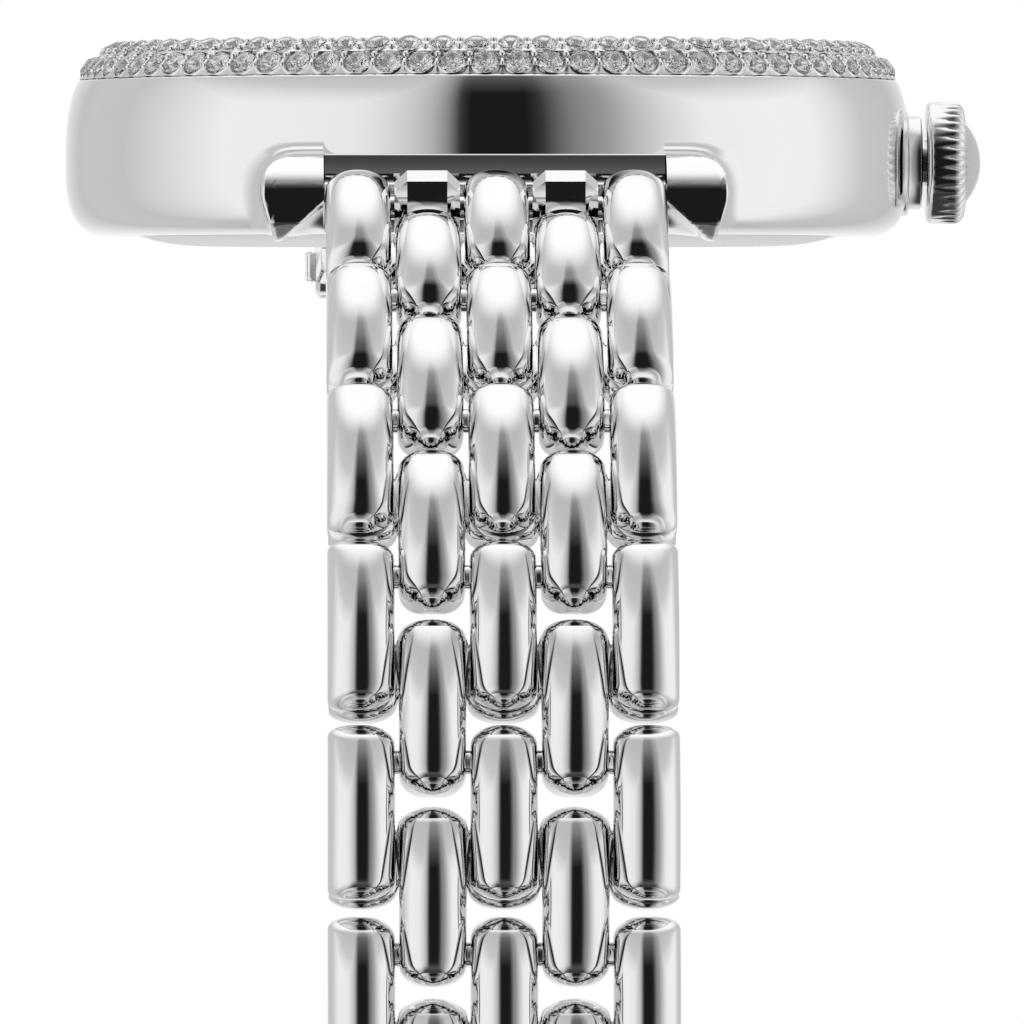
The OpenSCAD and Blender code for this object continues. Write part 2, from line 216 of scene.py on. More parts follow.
def noise(nodes, links, scale, detail=3, stretch=(1, 1, 1)):
    """Noise over the object's own coordinates, its size in waves per metre."""
    coords = nodes.new("ShaderNodeTexCoord")
    mapping = nodes.new("ShaderNodeMapping")
    mapping.inputs["Scale"].default_value = stretch
    tex = nodes.new("ShaderNodeTexNoise")
    tex.inputs["Scale"].default_value = scale
    tex.inputs["Detail"].default_value = detail
    links.new(coords.outputs["Object"], mapping.inputs["Vector"])
    links.new(mapping.outputs["Vector"], tex.inputs["Vector"])
    return tex


def ranged(nodes, links, source, low, high, low_in=0.3, high_in=0.7):
    node = nodes.new("ShaderNodeMapRange")
    node.inputs["From Min"].default_value = low_in
    node.inputs["From Max"].default_value = high_in
    node.inputs["To Min"].default_value = low
    node.inputs["To Max"].default_value = high
    links.new(source, node.inputs["Value"])
    return node.outputs["Result"]


def two_tone(nodes, links, source, dark, light):
    """A colour that goes from dark to light as the source goes from 0 to 1."""
    ramp = nodes.new("ShaderNodeValToRGB")
    ramp.color_ramp.elements[0].color = list(dark) + [1]
    ramp.color_ramp.elements[1].color = list(light) + [1]
    links.new(source, ramp.inputs["Fac"])
    return ramp.outputs["Color"]


def around(color, tone):
    """The colour a little darker and a little lighter."""
    return [c * (1 - tone) for c in color], [min(c * (1 + tone), 1) for c in color]


def metal(name, color, rough=(0.03, 0.06), tone=0.02, scale=900, bump=0.0, stretch=(1, 1, 1)):
    """Polished or brushed metal: its tone, gloss and relief vary in fine noise."""
    mat, nodes, links, shader = new_material(name)
    shader.inputs["Metallic"].default_value = 1
    wear = noise(nodes, links, scale, 4, stretch)
    links.new(ranged(nodes, links, wear.outputs["Fac"], rough[0], rough[1]), shader.inputs["Roughness"])
    shade = two_tone(nodes, links, wear.outputs["Fac"], *around(color, tone))
    links.new(shade, shader.inputs["Base Color"])
    if bump:
        grain = noise(nodes, links, scale, 2, stretch)
        relief = nodes.new("ShaderNodeBump")
        relief.inputs["Strength"].default_value = bump
        relief.inputs["Distance"].default_value = 0.00002
        links.new(grain.outputs["Fac"], relief.inputs["Height"])
        links.new(relief.outputs["Normal"], shader.inputs["Normal"])
    return mat


def turned_metal(name, color, rings=9000, rough=0.28):
    """Metal brushed in circles about the watch's axis."""
    mat, nodes, links, shader = new_material(name)
    shader.inputs["Metallic"].default_value = 1
    shader.inputs["Roughness"].default_value = rough
    coords = nodes.new("ShaderNodeTexCoord")
    flat = nodes.new("ShaderNodeVectorMath")
    flat.operation = "MULTIPLY"
    flat.inputs[1].default_value = (1, 1, 0)
    length = nodes.new("ShaderNodeVectorMath")
    length.operation = "LENGTH"
    spread = nodes.new("ShaderNodeCombineXYZ")
    tex = nodes.new("ShaderNodeTexNoise")
    tex.inputs["Scale"].default_value = rings
    relief = nodes.new("ShaderNodeBump")
    relief.inputs["Strength"].default_value = 0.25
    relief.inputs["Distance"].default_value = 0.00002
    links.new(coords.outputs["Object"], flat.inputs[0])
    links.new(flat.outputs["Vector"], length.inputs[0])
    links.new(length.outputs["Value"], spread.inputs["X"])
    links.new(spread.outputs["Vector"], tex.inputs["Vector"])
    links.new(tex.outputs["Fac"], relief.inputs["Height"])
    links.new(relief.outputs["Normal"], shader.inputs["Normal"])
    shade = two_tone(nodes, links, tex.outputs["Fac"], [c * 0.86 for c in color], color)
    links.new(shade, shader.inputs["Base Color"])
    return mat


def plastic(name, color, rough=(0.35, 0.5), tone=0.08, scale=700):
    mat, nodes, links, shader = new_material(name)
    grain = noise(nodes, links, scale)
    shade = two_tone(nodes, links, grain.outputs["Fac"], *around(color, tone))
    links.new(shade, shader.inputs["Base Color"])
    links.new(ranged(nodes, links, grain.outputs["Fac"], rough[0], rough[1]), shader.inputs["Roughness"])
    return mat


def pearl(name):
    """Mother-of-pearl: soft cloudy bands of white, grey and faint rose and green."""
    mat, nodes, links, shader = new_material(name)
    clouds = noise(nodes, links, 160, 3, (1, 1.6, 1))
    clouds.inputs["Distortion"].default_value = 1.4
    ramp = nodes.new("ShaderNodeValToRGB")
    stops = [(0.3, (0.78, 0.79, 0.80)), (0.45, (0.90, 0.88, 0.88)),
             (0.6, (0.84, 0.88, 0.86)), (0.72, (0.95, 0.95, 0.96))]
    while len(ramp.color_ramp.elements) < len(stops):
        ramp.color_ramp.elements.new(0.5)
    for element, (at, color) in zip(ramp.color_ramp.elements, stops):
        element.position = at
        element.color = list(color) + [1]
    links.new(clouds.outputs["Fac"], ramp.inputs["Fac"])
    links.new(ramp.outputs["Color"], shader.inputs["Base Color"])
    shader.inputs["Roughness"].default_value = 0.25
    shader.inputs["Coat Weight"].default_value = 0.4
    return mat


def glass(name, ior, tint, rough=0.0, clear=1):
    """Clear cut stone or crystal with a faint clouding in its tint."""
    mat, nodes, links, shader = new_material(name)
    shader.inputs["Transmission Weight"].default_value = clear
    shader.inputs["IOR"].default_value = ior
    shader.inputs["Roughness"].default_value = rough
    clouds = noise(nodes, links, 1200, 1)
    shade = two_tone(nodes, links, clouds.outputs["Fac"], [c * 0.97 for c in tint], tint)
    links.new(shade, shader.inputs["Base Color"])
    return mat


STEEL = (0.86, 0.86, 0.86)
polished = metal("polished_steel", STEEL, (0.02, 0.035), 0.012, 700)
band_steel = metal("bracelet_steel", STEEL, (0.02, 0.05), 0.015, 900)
bezel_steel = metal("bezel_steel", (0.84, 0.84, 0.84), (0.05, 0.1), 0.03, 1500)
crown_steel = metal("crown_steel", (0.82, 0.82, 0.815), (0.06, 0.12), 0.03, 1200, 0.1)
satin = metal("satin_steel", (0.74, 0.74, 0.74), (0.25, 0.35), 0.05, 900, 0.3, (1, 30, 1))
hand_metal = metal("hand_steel", (0.72, 0.72, 0.73), (0.08, 0.14), 0.03, 900)
back_metal = turned_metal("case_back_steel", (0.78, 0.78, 0.78))
brass = metal("movement_brass", (0.78, 0.64, 0.36), (0.2, 0.3), 0.06, 500, 0.3, (1, 12, 1))
gilt = metal("gilt_brass", (0.86, 0.68, 0.34), (0.12, 0.2), 0.05, 800, 0.2)
cell_metal = turned_metal("battery_steel", (0.8, 0.8, 0.8), 5000, 0.22)
holder = plastic("holder_plastic", (0.82, 0.82, 0.8))
white_seal = plastic("white_gasket", (0.9, 0.9, 0.88), (0.4, 0.5))
black_seal = plastic("black_gasket", (0.03, 0.03, 0.03), (0.45, 0.6), 0.2)
flange_metal = turned_metal("flange_silver", (0.8, 0.8, 0.81), 3000, 0.3)
nacre = pearl("dial_pearl")
stone_glass = glass("stone", 1.9, (1.0, 1.0, 1.0), 0.0, 0.95)
crystal_glass = glass("crystal_glass", 1.5, (1.0, 1.0, 1.0))
cap_material = plastic("crown_cap", (0.74, 0.74, 0.73), (0.12, 0.2), 0.03, 500)


# ---------- case ----------

def round_max(values, r):
    """Intersection of distances with its edges rounded to the radius r."""
    values = np.stack(values)
    return np.minimum(-r, values.max(0)) + np.sqrt((np.maximum(values + r, 0) ** 2).sum(0))


def round_min(a, b, r):
    """Union of two distances with a fillet of the radius r."""
    u = np.maximum(r - a, 0) ** 2 + np.maximum(r - b, 0) ** 2
    return np.maximum(r, np.minimum(a, b)) - np.sqrt(u)


def plane(u, v, at, normal_deg):
    """Distance outside a plane through the point at, in the plane of u and v."""
    a = math.radians(normal_deg)
    return (u - at[0]) * math.cos(a) + (v - at[1]) * math.sin(a)


def barrel(x, y, z):
    """The bulging case wall, with a small round at its top edge."""
    r = np.hypot(x, y)
    up = z > WALL_MID_Z
    height = np.where(up, WALL_UP, WALL_DOWN)
    power = np.where(up, WALL_UP_POWER, WALL_DOWN_POWER)
    swell = CASE_R - WALL_IN_R
    a = np.maximum(r - WALL_IN_R, 0) / swell
    b = np.abs(z - WALL_MID_Z) / height
    wall = ((a ** power + b ** power + 1e-12) ** (1 / power) - 1) * swell
    return round_max([wall, z - WALL_TOP], 0.12)


HOOD_TOP_EDGE, HOOD_EDGE_TILT = (19.22, 2.12), 29
HOOD_LOW_EDGE = (19.32, 0.75)
HOOD_ARC = 2.62
HOOD_CAP = HOOD_TOP_EDGE[1] + HOOD_ARC * (1 - math.sin(math.radians(HOOD_EDGE_TILT)))
HOOD_HALF_W = 8.96


def hood_side_view(v, z):
    """The hood seen from the side: an arched top, a steep front, a bevel under it and a flat foot."""
    tilt = math.radians(HOOD_EDGE_TILT)
    cv = HOOD_TOP_EDGE[0] - HOOD_ARC * math.cos(tilt)
    cz = HOOD_TOP_EDGE[1] - HOOD_ARC * math.sin(tilt)
    top = np.where(v > cv, np.hypot(v - cv, z - cz) - HOOD_ARC, z - HOOD_CAP)
    front = plane(v, z, HOOD_LOW_EDGE, 4)
    bevel = plane(v, z, HOOD_LOW_EDGE, -61)
    heel = plane(v, z, (15.4, 0.11), 256)
    return round_max([top, front, bevel, 0.08 - z, heel], 0.08)


def hood(x, y, z):
    """The broad hood out of which the two lugs of one side are cut."""
    w = np.abs(x)
    side = plane(w, z, (HOOD_HALF_W, 2.1), -16)
    front_view = round_max([z - HOOD_CAP, side], 1.9)
    arch = plane(w, z, (SLOT_X, 1.5), 228)
    return round_max([hood_side_view(np.abs(y), z), front_view, arch], 0.1)


def case_field(x, y, z, with_lugs):
    wall = barrel(x, y, z)
    return np.where(with_lugs, round_min(wall, hood(x, y, z), 0.75), wall)


def case_normals(points, with_lugs):
    eps = 1e-3
    grads = []
    for axis in range(3):
        step = np.zeros(3)
        step[axis] = eps
        ahead, behind = points + step, points - step
        grads.append(case_field(*ahead.T, with_lugs) - case_field(*behind.T, with_lugs))
    grads = np.stack(grads, -1)
    return grads / np.maximum(np.linalg.norm(grads, axis=-1, keepdims=True), 1e-12)


def case_columns():
    """Quarter of the case: each column's inner point, outward direction and whether it has lugs."""
    cols = [((x, -13.5), 0.0, False) for x in np.linspace(0, SLOT_X, 14)]
    cols += [((x, -13.5), 0.0, True) for x in np.linspace(SLOT_X, 7.6, 9)]
    fan = np.linspace(0, 1, 34)[1:]
    for t in fan:
        cols.append(((7.6 + 1.7 * t, -13.5 + 0.9 * t), 66 * t ** 1.25, True))
    start_phi = math.degrees(math.atan2(9.3, 12.6))
    for t in np.linspace(0, 1, 44)[1:]:
        phi = start_phi + (90 - start_phi) * t
        toward = phi + (66 - start_phi) * max(0, 1 - t / 0.55) ** 2
        r0 = 15.66 + (14.6 - 15.66) * min(1, t / 0.4)
        a = math.radians(phi)
        cols.append(((r0 * math.sin(a), -r0 * math.cos(a)), toward, True))
    return cols


def root_along(start, direction, reach, with_lugs):
    """Distance from each start point along its direction to the case's surface, by bisection."""
    low, high = np.zeros(len(start)), np.full(len(start), reach)
    for _ in range(34):
        mid = (low + high) / 2
        inside = case_field(*(start + mid[:, None] * direction).T, with_lugs) < 0
        low, high = np.where(inside, mid, low), np.where(inside, high, mid)
    return (low + high) / 2


def case_section(origin, toward, lugs, n_wall=64, n_under=7):
    """Points of one section from the top edge to the case back's recess, in millimetres of the row frame."""
    centre = np.array([origin[0], origin[1], HEART_Z])
    a = math.radians(toward)
    out = np.array([math.sin(a), -math.cos(a), 0])
    # the top edge, on the wall's rounded top
    edge_r = 15.85
    b = origin[0] * out[0] + origin[1] * out[1]
    t_top = -b + math.sqrt(b * b - (origin[0] ** 2 + origin[1] ** 2 - edge_r ** 2))
    top_angle = math.atan2(WALL_TOP - HEART_Z, t_top)
    dense = np.linspace(top_angle, -math.pi / 2, 700)
    rays = np.cos(dense)[:, None] * out + np.sin(dense)[:, None] * np.array([0, 0, 1])
    start = np.repeat(centre[None], len(dense), 0)
    on = np.full(len(dense), True)
    pts = start + root_along(start, rays, 12, on)[:, None] * rays
    nrm = case_normals(pts, on)
    step = np.linalg.norm(np.diff(pts, axis=0), axis=1)
    turn = np.arccos(np.clip((nrm[1:] * nrm[:-1]).sum(1), -1, 1))
    weight = np.concatenate([[0], np.cumsum(step + 0.9 * turn)])
    angles = np.interp(np.linspace(0, weight[-1], n_wall), weight, dense)
    rays = np.cos(angles)[:, None] * out + np.sin(angles)[:, None] * np.array([0, 0, 1])
    start = np.repeat(centre[None], n_wall, 0)
    flag = np.full(n_wall, lugs)
    wall = start + root_along(start, rays, 12, flag)[:, None] * rays
    # from straight below the inner point to the recess, radially
    r0 = math.hypot(*origin)
    radii = np.linspace(r0, BACK_R, n_under + 1)[1:]
    under = np.stack([radii * origin[0] / r0, radii * origin[1] / r0, np.full(n_under, HEART_Z)], -1)
    down = np.repeat([[0.0, 0.0, -1.0]], n_under, 0)
    under = under + root_along(under, down, 4, np.full(n_under, lugs))[:, None] * down
    return np.concatenate([wall, under])


def build_case():
    quarter = case_columns()
    sections = [case_section(*c) for c in quarter]
    flags = [c[2] for c in quarter]
    mirror_x = np.array([-1, 1, 1])
    half = [(s * mirror_x, f) for s, f in zip(sections[:0:-1], flags[:0:-1])] + list(zip(sections, flags))
    ring = half + [(s * np.array([1, -1, 1]), f) for s, f in half[-2:0:-1]]
    n_cols, n_rows = len(ring), len(ring[0][0])
    outer = np.stack([s for s, _ in ring], 1)
    lugs = np.array([f for _, f in ring])
    # the inner rings keep the azimuths that the columns have at the top and at the recess
    top_phi = np.arctan2(outer[0, :, 1], outer[0, :, 0])
    low_phi = np.arctan2(outer[-1, :, 1], outer[-1, :, 0])
    inner = [(BACK_R, BACK_RECESS_Z, low_phi), (CAVITY_R, BACK_RECESS_Z, low_phi),
             (CAVITY_R, BEZEL_SEAT_Z, top_phi), (BEZEL_SEAT_R, BEZEL_SEAT_Z, top_phi),
             (BEZEL_SEAT_R, WALL_TOP, top_phi)]
    rings = [np.stack([r * np.cos(phi), r * np.sin(phi), np.full(n_cols, z)], -1) for r, z, phi in inner]
    verts = np.concatenate([outer, np.stack(rings)], 0)
    faces = grid_faces(len(verts), n_cols, True, True)
    flat_verts = verts.reshape(-1, 3)
    smooth = case_normals(outer.reshape(-1, 3), np.tile(lugs, n_rows)).reshape(n_rows, n_cols, 3)
    loops = []
    for k, face in enumerate(faces):
        i, j = divmod(k, n_cols)
        p = flat_verts[list(face)]
        normal = np.cross(p[2] - p[0], p[3] - p[1])
        normal /= max(np.linalg.norm(normal), 1e-12)
        cut = lugs[j] != lugs[(j + 1) % n_cols]
        for v in face:
            row, col = divmod(v, n_cols)
            loops.append(tuple(smooth[row, col]) if i < n_rows - 1 and not cut else tuple(normal))
    return flat_verts, faces, loops


def make_case():
    verts, faces, loops = build_case()
    outward = np.cross(verts[faces[0][2]] - verts[faces[0][0]], verts[faces[0][3]] - verts[faces[0][1]])
    if np.dot(outward, loops[0]) < 0:
        faces = [f[::-1] for f in faces]
        turned_loops = []
        for k in range(0, len(loops), 4):
            turned_loops += loops[k:k + 4][::-1]
        loops = turned_loops
    fixed = []
    for face, four in zip(faces, [loops[k:k + 4] for k in range(0, len(loops), 4)]):
        p = verts[list(face)]
        normal = np.cross(p[2] - p[0], p[3] - p[1])
        fixed += [tuple(-np.array(n)) if np.dot(normal, n) < 0 else n for n in four]
    add_mesh("case_body", verts, faces, "case", polished, ["case"], normals=fixed)


# ---------- bracelet ----------

def end_factor(gap, reach, power=2.0):
    """1 along a pill, falling to 0 at its end over the given reach."""
    t = np.clip(1 - gap / reach, 0, 1)
    return (1 - t ** power) ** (1 / power)


def pill(low, high, outer=0, n_len=48, n_round=48):
    """A domed pill from s = low to s = high about its pin's height; outer is the side that is straight."""
    mid, half = (low + high) / 2, (high - low) / 2
    s = mid + half * np.sin(np.linspace(-1, 1, n_len) * math.pi / 2)
    s = s[1:-1]
    gap = half - np.abs(s - mid)
    width = PILL_HALF_W * end_factor(gap, 0.8, 2.1)
    straight = PILL_HALF_W * end_factor(gap, 0.5, 2.6)
    drop = DOME_R - np.sqrt(DOME_R ** 2 - (s - mid) ** 2)
    waist = CREST - PILL_HALF_W - 0.85 * drop
    rise = (CREST - drop - waist) * end_factor(gap, 0.6, 2.1)
    sink = (waist + UNDER) * end_factor(gap, 0.45, 3)
    a = np.arange(n_round) * TAU / n_round
    c, q = np.cos(a), np.sin(a)
    upper = q >= 0
    across = np.where(upper, np.sign(c) * np.abs(c) ** 0.88, np.sign(c) * np.abs(c) ** 0.4)
    w = np.where(across[None] * outer > 0, straight[:, None], width[:, None]) * across[None]
    h = waist[:, None] + np.where(upper[None], rise[:, None] * np.abs(q)[None] ** 0.88,
                                  -sink[:, None] * np.abs(q)[None] ** 0.4)
    body = np.stack([w, np.repeat(s[:, None], n_round, 1), h], -1).reshape(-1, 3)
    end_drop = DOME_R - math.sqrt(DOME_R ** 2 - half ** 2)
    tip = CREST - PILL_HALF_W - 0.85 * end_drop
    verts = np.concatenate([body, [[0, low, tip], [0, high, tip]]])
    faces = grid_faces(len(s), n_round, False, True)
    last = (len(s) - 1) * n_round
    for j in range(n_round):
        faces.append((len(verts) - 2, (j + 1) % n_round, j))
        faces.append((len(verts) - 1, last + j, last + (j + 1) % n_round))
    return verts, faces


def link_web(n=141):
    """The plate between a link's pills, its edges following the pills' ends."""
    x = np.linspace(-BAND_HALF_W + 0.05, BAND_HALF_W - 0.05, n)
    col = np.round(x / ROW_STEP)
    off = np.abs(x - col * ROW_STEP) / (ROW_STEP / 2)
    cap = np.sqrt(np.maximum(1 - np.minimum(off, 1) ** 2, 0))
    past = 0.24
    is_b = np.abs(col) % 2 == 1
    low = np.where(is_b, PITCH - PILL_END + 0.42 - (0.42 + past) * cap, 2.45)
    high = np.where(is_b, PITCH - 2.45, PILL_END - 0.42 + (0.42 + past) * cap)
    edge = [(0, -0.85), (0, -0.3), (0.08, -0.08), (0.22, 0.06), (0.42, 0.12)]
    verts = []
    for xi, lo, hi in zip(x, low, high):
        loop = [(lo + d, h) for d, h in edge] + [(hi - d, h) for d, h in edge[::-1]]
        verts += [(xi, s, h) for s, h in loop]
    m = 2 * len(edge)
    faces = grid_faces(n, m, False, True)
    faces.append(tuple(range(m - 1, -1, -1)))
    faces.append(tuple((n - 1) * m + k for k in range(m)))
    return verts, faces


def rod_x(r, x1, x2, y, z, n=24, bevel=0.06):
    """A turned rod along X with bevelled ends."""
    outline = [(0, x1), (r - bevel, x1), (r, x1 + bevel), (r, x2 - bevel), (r - bevel, x2), (0, x2)]
    verts, faces = turned(outline, n)
    v = np.asarray(verts)
    return np.stack([v[:, 2], y + v[:, 0], z + v[:, 1]], -1), faces


def link_mesh():
    shape = Shape()
    for row in (-2, 0, 2):
        v, f = pill(-KNUCKLE_R, PILL_END, np.sign(row))
        v[:, 0] += row * ROW_STEP
        shape.add(v, f)
    for row in (-1, 1):
        v, f = pill(PITCH - PILL_END - 0.3, PITCH + KNUCKLE_R - 0.2)
        v[:, 0] += row * ROW_STEP
        shape.add(v, f)
    shape.add(*link_web())
    shape.add(*rod_x(PIN_R, -BAND_HALF_W + 0.15, BAND_HALF_W - 0.15, PITCH, 0))
    mesh = bpy.data.meshes.new("bracelet_link")
    mesh.from_pydata((shape.all_verts() * MM).tolist(), [], shape.faces)
    face_outwards(mesh)
    mesh.shade_smooth()
    mesh.set_sharp_from_angle(angle=math.radians(50))
    mesh.materials.append(band_steel)
    return mesh


JOINT_AT = {j["name"]: np.array(j["pos_m"]) for j in frame["joints"] if "pos_m" in j}


def pin(side, k):
    """Place of hinge k of a bracelet half, in metres; the last one carries the clasp half."""
    return JOINT_AT[f"hinge_{side}_{k}" if k <= LINKS else f"hinge_{side}_clasp"]


def pose_matrix(side, at, along):
    """From a piece's own axes (width, along, up) to its place on one bracelet half."""
    sign = 1 if side == 6 else -1
    up = sign * np.array([0, along[2], -along[1]])
    cols = [np.array([-sign, 0, 0]), along, up, at]
    m = Matrix.Identity(4)
    for c, col in enumerate(cols):
        for r in range(3):
            m[r][c] = float(col[r])
    return m


def make_links():
    mesh = link_mesh()
    for side in (6, 12):
        for k in range(1, LINKS + 1):
            at, following = pin(side, k), pin(side, k + 1)
            along = (following - at) / np.linalg.norm(following - at)
            name = f"link_{side}_{k}"
            place(name + "_steel", mesh, name, [name], pose_matrix(side, at, along))


def extrude_x(outline, x1, x2, flip=1):
    """A prism along X from an outline of (v, z) points, v being the distance towards 6 or 12 o'clock."""
    o = np.asarray(outline, float)
    n = len(o)
    verts = [(x, -flip * v, z) for x in (x1, x2) for v, z in o]
    faces = [(i, (i + 1) % n, n + (i + 1) % n, n + i) for i in range(n)]
    faces += [tuple(range(n - 1, -1, -1)), tuple(range(n, 2 * n))]
    return np.array(verts), faces


def end_link_shape(flip):
    """Body flush with the lugs and two blocks between the first link's pills."""
    shape = Shape()
    pin_v, pin_z = first_pin()
    step = 17.5
    reach = KNUCKLE_R + 0.22
    top = arc(step - 0.12, HOOD_CAP - 0.18, 0.12, 90, 0, 5) + [(step + 0.36, 2.55)]
    top += arc(step + 0.66, 2.5, 0.3, 150, 240, 5)
    hollow = arc(pin_v, pin_z, reach, 146, 215, 12)
    outline = [(SLOT_Y + 0.03, HOOD_CAP - 0.06)] + top + hollow + [(SLOT_Y + 0.4, 0.35), (SLOT_Y + 0.03, 0.6)]
    shape.add(*extrude_x(outline, -SLOT_X + 0.04, SLOT_X - 0.04, flip))
    for row in (-1, 1):
        shape.add(*end_block(row * ROW_STEP, pin_v, pin_z, flip))
    v, f = rod_x(PIN_R, -BAND_HALF_W + 0.15, BAND_HALF_W - 0.15, -flip * pin_v, pin_z)
    shape.add(v, f)
    return shape


def end_block(x, pin_v, pin_z, flip):
    """A faceted knuckle: a flat front with bevelled top and sides, round below the pin."""
    half, bevel = PILL_HALF_W, 0.48
    front, top = pin_v + 1.36, pin_z + 1.5
    side = [(pin_v - 2.2, top - 0.35), (pin_v - 0.2, top - 0.05), (front - 0.42, top - 0.1),
            (front, top - 0.52)]
    side += arc(pin_v, pin_z, KNUCKLE_R, -20, -120, 10) + [(pin_v - 2.2, pin_z - 0.9)]
    side = np.array(side)
    centre = side.mean(0)
    levels = [(-half, bevel), (-half + bevel, 0.0), (half - bevel, 0.0), (half, bevel)]
    n = len(side)
    verts = []
    for xo, inset in levels:
        for v, z in side:
            away = np.array([v, z]) - centre
            pulled = np.array([v, z]) - away / np.linalg.norm(away) * inset * (1 if v > pin_v - 1 else 0)
            verts.append((x + xo, -flip * pulled[0], pulled[1]))
    faces = grid_faces(len(levels), n, False, True)
    faces += [tuple(range(n - 1, -1, -1)), tuple((len(levels) - 1) * n + k for k in range(n))]
    return np.array(verts), faces


def first_pin():
    at = pin(6, 1) / MM
    return -at[1], at[2]


def make_end_links():
    for side, flip in ((6, 1), (12, -1)):
        shape = end_link_shape(flip)
        add_mesh(f"end_link_{side}_steel", shape.all_verts(), shape.faces, "case", band_steel,
                 [f"end_link_{side}"], sharp=25)


# ---------- case back ----------

def make_case_back():
    outline = [(0, 1.55), (12.0, 1.55), (12.95, 1.55), (12.95, 0.82), (13.58, 0.8), (13.6, 0.5),
               (13.5, 0.36), (13.1, 0.22), (12.5, 0.1), (11.9, 0.03), (11.3, 0.0), (10.6, 0.0),
               (10.55, 0.04), (10.35, 0.04), (10.3, 0.0), (0, 0.0)]
    verts, faces = turned(outline, 180)
    add_mesh("case_back_plate", verts, faces, "case", back_metal, ["case_back"], sharp=25)


# ---------- bezel and stones ----------

SEAT_R = 0.53
SEAT_DEPTH = 0.4


def bezel_frame(tilt, phi):
    """Point of the bezel's bulge and its outward normal."""
    normal = np.stack([np.cos(tilt) * np.cos(phi), np.cos(tilt) * np.sin(phi), np.sin(tilt) + 0 * phi], -1)
    r = BEZEL_R + BEZEL_ARC * np.cos(tilt)
    point = np.stack([r * np.cos(phi), r * np.sin(phi), BEZEL_Z + BEZEL_ARC * np.sin(tilt) + 0 * phi], -1)
    return point, normal


def bezel_row(count, row_tilt, tilt_low, tilt_high, turn, per_stone=26, n_tilt=40):
    """Outer skin of one row of the bezel, sunk in a round seat under each stone."""
    n = count * per_stone
    phi = np.arange(n) * TAU / n
    tilt = np.radians(np.linspace(tilt_low, tilt_high, n_tilt))
    tt, pp = np.meshgrid(tilt, phi, indexing="ij")
    point, normal = bezel_frame(tt, pp)
    r = BEZEL_R + BEZEL_ARC * np.cos(tt)
    pitch = TAU / count
    off = (pp / pitch - turn + 0.5) % 1 - 0.5
    a = off * pitch * r
    b = (tt - row_tilt) * BEZEL_ARC
    away = np.hypot(a, b)
    # seats open upwards, so that only a thin rim is left under each stone
    seat = np.clip((SEAT_R - away) / 0.05, 0, 1)
    opened = np.clip((SEAT_R - np.abs(a)) / 0.05, 0, 1) * np.clip((b - 0.1) / 0.05, 0, 1) * 0.5
    depth = SEAT_DEPTH * np.maximum(seat, opened)
    rim = 0.05 * np.exp(-((away - SEAT_R - 0.04) / 0.05) ** 2)
    # the bridge between two seats is a raised prong
    prong = 0.07 * np.exp(-((0.5 - np.abs(off)) * pitch * r / 0.1) ** 2) * np.exp(-((b + 0.12) / 0.3) ** 2)
    flow = 0.015 * np.exp(-(tt - tilt[0]) / 0.03) if count == OUTER_COUNT else 0 * tt
    skin = point + normal * (rim + prong + flow - depth)[..., None]
    return skin, phi


def close_band(skin, phi, inner):
    """Closes an outer skin with inner rings of (r, z) from its top edge round to its bottom edge."""
    rings = [np.stack([r * np.cos(phi), r * np.sin(phi), np.full(len(phi), z)], -1) for r, z in inner]
    verts = np.concatenate([skin, np.stack(rings)], 0)
    return verts.reshape(-1, 3), grid_faces(len(verts), len(phi), True, True)


def make_bezel():
    low, split, high = 25.5, 52.5, 84
    skin, phi = bezel_row(OUTER_COUNT, OUTER_TILT, low, split, 0)
    inner = [(14.9, 6.95), (14.4, 6.5), (14.4, 5.45), (13.25, 5.45), (13.25, 6.52), (15.5, 6.5)]
    verts, faces = close_band(skin, phi, inner)
    add_mesh("bezel_outer_row", verts, faces, "case", bezel_steel, ["bezel"], sharp=50)
    skin, phi = bezel_row(INNER_COUNT, INNER_TILT, split - 0.5, high, 0.5)
    inner = [(13.3, 7.88), (12.78, 7.82), (12.78, 6.6), (12.1, 6.57), (12.1, 6.36), (13.3, 6.4), (14.8, 6.7)]
    verts, faces = close_band(skin, phi, inner)
    add_mesh("bezel_inner_row", verts, faces, "case", bezel_steel, [], sharp=50)


def ring_of(n, r, z, turn=0.0):
    """Corners of a level polygon about Z, turned by a part of its step."""
    angles = [TAU * (i + turn) / n for i in range(n)]
    return [(r * math.cos(a), r * math.sin(a), z) for a in angles]


def cut_stone():
    """A round brilliant about +Z, with its girdle at z = 0."""
    table_r, star_r = 0.56 * STONE_R, 0.78 * STONE_R
    crown_h, star_h, pavilion = 0.17, 0.11, 0.4
    table = ring_of(8, table_r, crown_h, 0.5)
    star = ring_of(8, star_r, star_h)
    top = ring_of(16, STONE_R, 0.012)
    low = [(x, y, -0.035) for x, y, _ in top]
    waist = ring_of(8, 0.3 * STONE_R, -0.3, 0.5)
    verts = table + star + top + low + waist + [(0, 0, -pavilion)]
    t, s, u, d, w, tip = 0, 8, 16, 32, 48, 56
    faces = [tuple(range(8))]
    for i in range(8):
        j = (i + 1) % 8
        faces.append((t + i, t + (i - 1) % 8, s + i))
        faces.append((s + i, u + 2 * i, u + (2 * i + 1) % 16, t + i))
        faces.append((s + j, t + i, u + 2 * i + 1, u + (2 * i + 2) % 16))
        faces.append((d + 2 * i, w + i, d + (2 * i + 1) % 16))
        faces.append((d + 2 * i + 1, w + i, d + (2 * i + 2) % 16))
        faces.append((d + 2 * i, w + (i - 1) % 8, w + i))
        faces.append((w + i, w + (i - 1) % 8, tip))
    for i in range(16):
        j = (i + 1) % 16
        faces.append((u + i, d + i, d + j, u + j))
    return np.array(verts), faces


